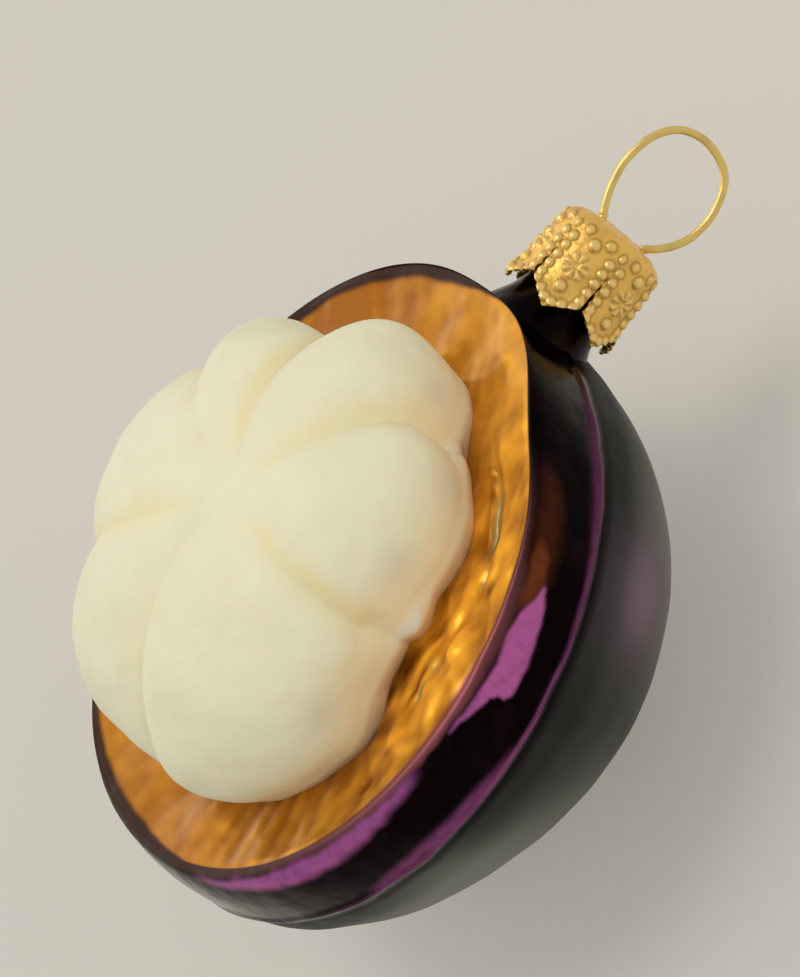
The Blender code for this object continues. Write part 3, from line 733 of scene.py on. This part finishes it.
def capRelief(across, drop, along, half):
    # how high the embossing stands here, and how deep in the ring round a bead this is
    small, smallRise = cap["edgeBead"]
    beads = [(spotAcross, spotDrop, radius, rise) for spotAcross, spotDrop, radius, rise in cap["beads"]]
    beads += [(half - 0.00062, spotDrop, small, smallRise) for spotDrop in cap["edgeBeads"]]
    beads += [(spotAcross, spotDrop, small, smallRise) for spotAcross, spotDrop in cap["tipBeads"]]
    height, ring = 0.0, 0.0
    for spotAcross, spotDrop, radius, rise in beads:
        distance = math.hypot(abs(across) - spotAcross, drop - spotDrop)
        height = max(height, beadHeight(distance, radius, rise))
        ring = max(ring, hill(distance - 1.08 * radius, 0.00014))
    flower = cap["flower"]
    away = math.hypot(across, drop - flower["drop"])
    if away < 1.3 * flower["reach"]:
        leaf = abs(math.cos(0.5 * flower["leaves"] * math.atan2(drop - flower["drop"], across)))
        length = ease(away, 0.00020, 0.00050) * (1.0 - ease(away, 0.75 * flower["reach"], flower["reach"]))
        height = max(height, flower["height"] * leaf ** 1.3 * length)
        ring = max(ring, (1.0 - leaf) ** 2 * length)
    if drop <= 0.0:
        height = max(height, lumps(Vector((abs(across), along, 0.0)), (cap["topLump"],)))
    return height, ring if height < 0.00010 else 0.0


def makeCap(finish):
    mesh = bmesh.new()
    for name in ("crest", "ring"):
        mesh.verts.layers.float.new(name)
    crestLayer, ringShadeLayer = mesh.verts.layers.float["crest"], mesh.verts.layers.float["ring"]
    length = capMiddle() + (0.5 * math.pi - 1.0) * cap["edge"] + cap["tabTip"]
    bmesh.ops.create_grid(mesh, x_segments=cap["columns"], y_segments=cap["rows"], size=0.5)
    for vert in mesh.verts:
        vert.co.y = (vert.co.y + 0.5) * length
    # cut the pointed end of the tab, whose width here is 1
    corner = length - cap["tabTip"] + cap["tabCorner"]
    for hand in (-1.0, 1.0):
        slope = Vector((hand * (length - corner), 0.5, 0.0)).normalized()
        parts = list(mesh.verts) + list(mesh.edges) + list(mesh.faces)
        bmesh.ops.bisect_plane(mesh, geom=parts, dist=1e-6, plane_co=(0.0, length, 0.0), plane_no=slope,
                               clear_outer=True)
    for vert in mesh.verts:
        share, along = vert.co.x, max(vert.co.y, 0.0)
        radius, level, slope, drop = capOutline(along)
        narrow = 0.0
        if drop > cap["slitFrom"]:
            narrow = 0.5 * cap["slit"] * ease(drop, cap["band"] + 0.0008, cap["tabCorner"])
        half = math.radians(30.0) * radius
        across = share * 2.0 * (half - narrow)
        angle = across / max(radius, 1e-5)
        height, ring = capRelief(across, drop, along, half) if along > 0.0006 else (0.0, 0.0)
        bent = lumps(Vector((abs(across), along, 0.0)), (cap["sheetLump"],))
        reach = radius + (height + bent + cap["flare"] * ease(drop, 0.0055, 0.0094) ** 2) * math.sin(slope)
        # crest marks the raised beads, painted lighter as a highlight; ring marks the groove round each bead, painted
        # darker, partly grime and partly painted shade
        vert[crestLayer] = min(height / 0.0003, 1.0)
        vert[ringShadeLayer] = ring
        height -= cap["ringDepth"] * ring
        vert.co = Vector((reach * math.cos(angle), reach * math.sin(angle),
                          level + (height + bent) * math.cos(slope)))
    sixth = list(mesh.verts) + list(mesh.edges) + list(mesh.faces)
    for number in range(1, cap["tabs"]):
        copied = bmesh.ops.duplicate(mesh, geom=sixth)["geom"]
        verts = [part for part in copied if isinstance(part, bmesh.types.BMVert)]
        bmesh.ops.rotate(mesh, cent=(0, 0, 0), matrix=Matrix.Rotation(math.tau * number / cap["tabs"], 3, "Z"),
                         verts=verts)
    bmesh.ops.remove_doubles(mesh, verts=mesh.verts, dist=4e-6)
    bmesh.ops.recalc_face_normals(mesh, faces=mesh.faces)
    bmesh.ops.solidify(mesh, geom=list(mesh.faces), thickness=cap["sheet"])
    bmesh.ops.rotate(mesh, cent=(0, 0, 0), matrix=Matrix.Rotation(math.radians(cap["turn"]), 3, "Z"), verts=mesh.verts)
    bmesh.ops.transform(mesh, matrix=neckPlace, verts=mesh.verts)
    return makePiece("capSheet", mesh, finish, "cap")


# the hanger: one spring wire, its two legs in the neck and the loop outside

hanger = {
    "radius": 0.0004,
    "parts": 12,
    "sides": 18,
    "leg": ((0.0036, 0.0260), (0.0031, 0.0273), (0.0026, 0.0290), (0.0024, 0.0325), (0.0024, 0.0416)),
    "loop": ((-0.0026, 0.0425), (-0.0032, 0.0437), (-0.0038, 0.0453), (-0.0042, 0.0477), (-0.0037, 0.0509),
             (-0.0020, 0.0531), (0.0008, 0.0537), (0.0038, 0.0524), (0.0052, 0.0493), (0.0052, 0.0464),
             (0.0045, 0.0446), (0.0035, 0.0433), (0.00255, 0.0424)),
}


def makeHanger(finish):
    route = [Vector((-across, 0.0, along)) for across, along in hanger["leg"]]
    route += [Vector((across, 0.0, along)) for across, along in hanger["loop"]]
    route += [Vector((across, 0.0, along)) for across, along in reversed(hanger["leg"])]
    path = smoothLine(route, hanger["parts"])
    mesh = bmesh.new()
    bmesh.ops.create_circle(mesh, cap_ends=False, segments=hanger["sides"], radius=hanger["radius"])
    ring = list(mesh.edges)
    away = Vector((0.0, 0.0, 1.0))
    heading = (path[1] - path[0]).normalized()
    bmesh.ops.rotate(mesh, cent=(0, 0, 0), matrix=away.rotation_difference(heading).to_matrix(), verts=mesh.verts)
    bmesh.ops.translate(mesh, vec=path[0], verts=mesh.verts)
    for place, spot in enumerate(path[1:], 1):
        nextHeading = (path[min(place + 1, len(path) - 1)] - path[place - 1]).normalized()
        drawn = bmesh.ops.extrude_edge_only(mesh, edges=ring)["geom"]
        verts = [part for part in drawn if isinstance(part, bmesh.types.BMVert)]
        ring = [part for part in drawn if isinstance(part, bmesh.types.BMEdge)]
        bmesh.ops.translate(mesh, vec=spot - path[place - 1], verts=verts)
        bmesh.ops.rotate(mesh, cent=spot, matrix=heading.rotation_difference(nextHeading).to_matrix(), verts=verts)
        heading = nextHeading
    closeHoles(mesh)
    bmesh.ops.transform(mesh, matrix=neckPlace, verts=mesh.verts)
    return makePiece("hangerWire", mesh, finish, "wire_hanger")


# finishes

fleshLook = {
    "ivory": (0.86, 0.82, 0.57, 1.0),
    "cream": (0.82, 0.765, 0.51, 1.0),
    "yellow": (0.87, 0.755, 0.42, 1.0),
    "orange": (0.84, 0.62, 0.37, 1.0),
    "shadeGrey": (0.60, 0.565, 0.44, 1.0),
    "silver": (0.86, 0.85, 0.80, 1.0),
}


def makeFleshFinish():
    finish, tree, shader = newFinish("fleshLacquer", {"Roughness": 0.55, "Subsurface Weight": 0.10,
                                                      "Subsurface Scale": 0.002})
    clouds = useGroup(tree, mottle, "Mask", Scale=130.0, Detail=3.0, Low=0.35, High=0.75)
    brushed = useGroup(tree, mottle, "Mask", Scale=600.0, Detail=4.0, Low=0.20, High=0.60, Shift=3.0)
    colour = blendColours(tree, clouds, fleshLook["ivory"], fleshLook["cream"])
    # grey patches on the near flank: painted shade
    shadePatch = compute(tree, "MULTIPLY", painted(tree, "shadePatch"), 0.55)
    colour = blendColours(tree, shadePatch, colour, fleshLook["shadeGrey"])
    yellow = compute(tree, "MULTIPLY", painted(tree, "airbrush"), blendValues(tree, brushed, 0.70, 1.0))
    colour = blendColours(tree, yellow, colour, fleshLook["yellow"])
    orange = compute(tree, "MULTIPLY", painted(tree, "orange"), compute(tree, "MULTIPLY", brushed, 0.4))
    colour = blendColours(tree, orange, colour, fleshLook["orange"])
    # silver: bare silvering, with a painted highlight along the foot
    bareAndGlint = painted(tree, "bareAndGlint")
    colour = blendColours(tree, bareAndGlint, colour, fleshLook["silver"])
    feed(tree, colour, shader.inputs["Base Color"])
    feed(tree, blendValues(tree, bareAndGlint, 0.0, 0.85), shader.inputs["Metallic"])
    feed(tree, blendValues(tree, bareAndGlint, 0.55, 0.25), shader.inputs["Roughness"])
    feed(tree, useGroup(tree, ripple, "Normal", Wave_Scale=420.0, Wave_Height=0.00016, Grain_Scale=5200.0,
                        Grain_Height=0.000014), shader.inputs["Normal"])
    return finish


rindLook = {
    "amber": (1.00, 0.470, 0.035, 1.0),
    "deepAmber": (0.36, 0.115, 0.004, 1.0),
    "olive": (0.36, 0.30, 0.12, 1.0),
    "black": (0.004, 0.002, 0.0025, 1.0),
    "plum": (0.010, 0.004, 0.007, 1.0),
    "brown": (0.046, 0.021, 0.014, 1.0),
    "rose": (0.31, 0.095, 0.110, 1.0),
    "magenta": (0.56, 0.13, 0.44, 1.0),
    "pinkSeamSheen": (0.30, 0.075, 0.23, 1.0),
    "ember": (0.19, 0.050, 0.018, 1.0),
    "slate": (0.013, 0.0145, 0.0135, 1.0),
    "soot": (0.027, 0.029, 0.027, 1.0),
    "floorSheenGrey": (0.200, 0.205, 0.180, 1.0),
    "violet": (0.205, 0.130, 0.175, 1.0),
}


def makeRindFinish():
    # Emission Strength lights the rim's painted glow
    finish, tree, shader = newFinish("rindLacquer", {"Coat Roughness": 0.12, "Specular IOR Level": 0.2,
                                                     "Emission Strength": 0.18})
    gilt, frost, magenta = painted(tree, "gilt"), painted(tree, "frost"), painted(tree, "magenta")
    amberClouds = useGroup(tree, mottle, "Mask", Scale=300.0, Detail=3.0, Low=0.40, High=0.70, Shift=1.0)
    bandClouds = useGroup(tree, mottle, "Mask", Scale=260.0, Detail=4.0, Low=0.50, High=0.70, Shift=2.0)
    speckle = useGroup(tree, mottle, "Mask", Scale=900.0, Detail=4.0, Low=0.30, High=0.58, Shift=4.0)
    hullClouds = useGroup(tree, mottle, "Mask", Scale=90.0, Detail=4.0, Low=0.36, High=0.68, Shift=5.0)
    ragged = blendValues(tree, speckle, 0.80, 1.0)
    colour = blendColours(tree, bandClouds, rindLook["black"], rindLook["plum"])
    # ember and magenta on the band: painted sheen and painted reflections
    colour = blendColours(tree, compute(tree, "MULTIPLY", painted(tree, "ember"), ragged), colour, rindLook["ember"])
    colour = blendColours(tree, compute(tree, "MULTIPLY", magenta, ragged), colour, rindLook["magenta"])
    # pink seam line: partly a painted reflection
    colour = blendColours(tree, compute(tree, "MULTIPLY", painted(tree, "pinkSeamSheen"), ragged), colour, rindLook["pinkSeamSheen"])
    lip = blendColours(tree, painted(tree, "rose"), rindLook["brown"], rindLook["rose"])
    colour = blendColours(tree, painted(tree, "lip"), colour, lip)
    # the amber tone carries painted highlight and shade on the rim's lumps, folds and sides
    amber = blendColours(tree, painted(tree, "toneAndSheen"), rindLook["deepAmber"], rindLook["amber"])
    amber = blendColours(tree, compute(tree, "MULTIPLY", amberClouds, 0.3), amber, rindLook["deepAmber"])
    amber = blendColours(tree, painted(tree, "pale"), amber, rindLook["olive"])
    colour = blendColours(tree, gilt, colour, amber)
    # the rim glows a little where its lacquer is bright: a painted glow, not a lamp
    paintedGlow = compute(tree, "MULTIPLY", gilt, painted(tree, "toneAndSheen"))
    feed(tree, blendColours(tree, paintedGlow, rindLook["black"], amber), shader.inputs["Emission Color"])
    hull = blendColours(tree, hullClouds, rindLook["slate"], rindLook["soot"])
    # lighter ash lower on the hull: a painted reflection of the floor
    hull = blendColours(tree, painted(tree, "floorSheen"), hull, rindLook["floorSheenGrey"])
    # violet: a painted reflection on the frosted hull
    hull = blendColours(tree, painted(tree, "violet"), hull, rindLook["violet"])
    colour = blendColours(tree, frost, colour, hull)
    # black line under the seam: painted shade in its groove
    colour = blendColours(tree, painted(tree, "grooveShade"), colour, rindLook["black"])
    feed(tree, colour, shader.inputs["Base Color"])
    rough = blendValues(tree, gilt, 0.17, 0.29)
    rough = blendValues(tree, compute(tree, "MULTIPLY", painted(tree, "lip"), compute(tree, "SUBTRACT", 1.0, gilt)),
                        rough, 0.46)
    feed(tree, blendValues(tree, frost, rough, 0.52), shader.inputs["Roughness"])
    metal = blendValues(tree, gilt, 1.0, 0.60)
    feed(tree, blendValues(tree, frost, metal, 0.30), shader.inputs["Metallic"])
    coat = blendValues(tree, gilt, compute(tree, "MULTIPLY", magenta, 0.3), 0.04)
    feed(tree, blendValues(tree, frost, coat, 0.0), shader.inputs["Coat Weight"])
    feed(tree, useGroup(tree, ripple, "Normal", Wave_Scale=260.0, Wave_Height=0.00020, Grain_Scale=6000.0,
                        Grain_Height=0.000010), shader.inputs["Normal"])
    return finish


neckLook = {"dark": (0.006, 0.004, 0.004, 1.0), "brown": (0.030, 0.014, 0.008, 1.0)}


def makeNeckFinish():
    finish, tree, shader = newFinish("neckLacquer", {"Metallic": 1.0, "Roughness": 0.20})
    thin = useGroup(tree, mottle, "Mask", Scale=240.0, Detail=3.0, Low=0.48, High=0.66, Shift=6.0)
    feed(tree, blendColours(tree, thin, neckLook["dark"], neckLook["brown"]), shader.inputs["Base Color"])
    feed(tree, useGroup(tree, ripple, "Normal", Wave_Scale=300.0, Wave_Height=0.0002, Grain_Scale=5000.0,
                        Grain_Height=0.000008), shader.inputs["Normal"])
    return finish


giltLook = {
    "crest": (0.97, 0.67, 0.23, 1.0),
    "sheet": (0.94, 0.57, 0.13, 1.0),
    "stain": (0.72, 0.41, 0.10, 1.0),
    "ring": (0.46, 0.24, 0.045, 1.0),
    "wire": (0.88, 0.64, 0.20, 1.0),
    "wireDark": (0.76, 0.53, 0.19, 1.0),
}


def makeCapFinish():
    finish, tree, shader = newFinish("giltSheet", {"Metallic": 0.6, "Specular IOR Level": 0.3})
    worn = useGroup(tree, mottle, "Mask", Scale=500.0, Detail=4.0, Low=0.50, High=0.76, Shift=7.0)
    colour = blendColours(tree, worn, giltLook["sheet"], giltLook["stain"])
    # crest: a painted highlight on the raised beads; ring: the groove round each bead, partly grime and partly painted
    # shade
    colour = blendColours(tree, painted(tree, "crest"), colour, giltLook["crest"])
    colour = blendColours(tree, compute(tree, "MULTIPLY", painted(tree, "ring"), 0.8), colour, giltLook["ring"])
    feed(tree, colour, shader.inputs["Base Color"])
    feed(tree, blendValues(tree, worn, 0.33, 0.46), shader.inputs["Roughness"])
    feed(tree, useGroup(tree, ripple, "Normal", Wave_Scale=1300.0, Wave_Height=0.00012, Grain_Scale=9000.0,
                        Grain_Height=0.000012), shader.inputs["Normal"])
    return finish


def makeWireFinish():
    finish, tree, shader = newFinish("giltWire", {"Metallic": 0.7, "Specular IOR Level": 0.3})
    worn = useGroup(tree, mottle, "Mask", Scale=600.0, Detail=4.0, Low=0.45, High=0.72, Shift=8.0)
    feed(tree, blendColours(tree, worn, giltLook["wire"], giltLook["wireDark"]), shader.inputs["Base Color"])
    feed(tree, blendValues(tree, worn, 0.22, 0.32), shader.inputs["Roughness"])
    feed(tree, useGroup(tree, ripple, "Normal", Wave_Scale=900.0, Wave_Height=0.00002, Grain_Scale=9000.0,
                        Grain_Height=0.000004), shader.inputs["Normal"])
    return finish


# studio

studio = {
    "cameraAzimuth": 101.8,
    "cameraElevation": -35.28,
    "cameraRoll": 62.64,
    "cameraPlace": Vector((0.05772, -0.22638, 0.15931)) + upToRim,
    "lens": 110.54,
    "air": (0.93, 0.92, 0.90, 1.0),
    "airStrength": 0.53,
    "floor": (0.430, 0.405, 0.345, 1.0),
    "floorShade": (0.395, 0.375, 0.330, 1.0),
    "floorGlow": (1.0, 0.955, 0.86, 1.0),       # the paper lets some light through from below
    "floorGlowStrength": 0.225,
    # place, size, power, colour, seen in reflections
    "lights": (
        ((-0.35, 1.00, 0.75), 1.80, 5.3, (1.0, 0.98, 0.94), True),
        ((0.05, 0.15, 1.10), 0.55, 2.8, (1.0, 0.98, 0.95), True),
        ((0.51, -0.88, 0.41), 0.80, 3.0, (1.0, 0.98, 0.96), False),
    ),
}


def makeCamera():
    azimuth, elevation, roll = (math.radians(studio[key]) for key in
                                ("cameraAzimuth", "cameraElevation", "cameraRoll"))
    ahead = Vector((math.cos(elevation) * math.cos(azimuth), math.cos(elevation) * math.sin(azimuth),
                    math.sin(elevation)))
    level = ahead.cross(Vector((0.0, 0.0, 1.0))).normalized()
    above = level.cross(ahead)
    up = above * math.cos(roll) + level * math.sin(roll)
    right = ahead.cross(up)
    camera = bpy.data.objects.new("photoCamera", bpy.data.cameras.new("photoCamera"))
    camera.data.lens = studio["lens"]
    camera.data.sensor_width = 36.0
    camera.data.clip_start = 0.01
    turn = Matrix((right, up, -ahead)).transposed().to_4x4()
    camera.matrix_world = Matrix.Translation(studio["cameraPlace"]) @ turn
    bpy.context.scene.collection.objects.link(camera)
    bpy.context.scene.camera = camera


def makeStudio():
    for number, (place, size, power, colour, reflected) in enumerate(studio["lights"]):
        light = bpy.data.lights.new("softbox%d" % number, "AREA")
        light.shape = "DISK"
        light.size = size
        light.energy = power
        light.color = colour
        lamp = bpy.data.objects.new(light.name, light)
        lamp.location = place
        lamp.visible_glossy = reflected
        lamp.rotation_euler = (Vector((0.0, 0.0, 0.025)) - Vector(place)).to_track_quat("-Z", "Y").to_euler()
        bpy.context.scene.collection.objects.link(lamp)
    air = bpy.data.worlds.new("studioAir")
    air.use_nodes = True
    sky = air.node_tree.nodes["Background"]
    sky.inputs["Color"].default_value = studio["air"]
    sky.inputs["Strength"].default_value = studio["airStrength"]
    bpy.context.scene.world = air
    bpy.context.scene.view_settings.view_transform = "Standard"

    finish, tree, shader = newFinish("paperFloor", {"Roughness": 0.75, "Emission Color": studio["floorGlow"],
                                                    "Emission Strength": studio["floorGlowStrength"]})
    tint = useGroup(tree, mottle, "Mask", Scale=6.0, Detail=2.0, Low=0.30, High=0.70)
    feed(tree, blendColours(tree, tint, studio["floor"], studio["floorShade"]), shader.inputs["Base Color"])
    mesh = bmesh.new()
    bmesh.ops.create_grid(mesh, x_segments=2, y_segments=2, size=3.0)
    data = bpy.data.meshes.new("paperFloor")
    mesh.to_mesh(data)
    mesh.free()
    data.materials.append(finish)
    floor = bpy.data.objects.new("paperFloor", data)
    bpy.context.scene.collection.objects.link(floor)


makeCamera()
makeStudio()
print("studio ready")
makeFlesh(makeFleshFinish())
makeRind(makeRindFinish())
makeNeck(makeNeckFinish())
makeCap(makeCapFinish())
makeHanger(makeWireFinish())
print("ornament ready")
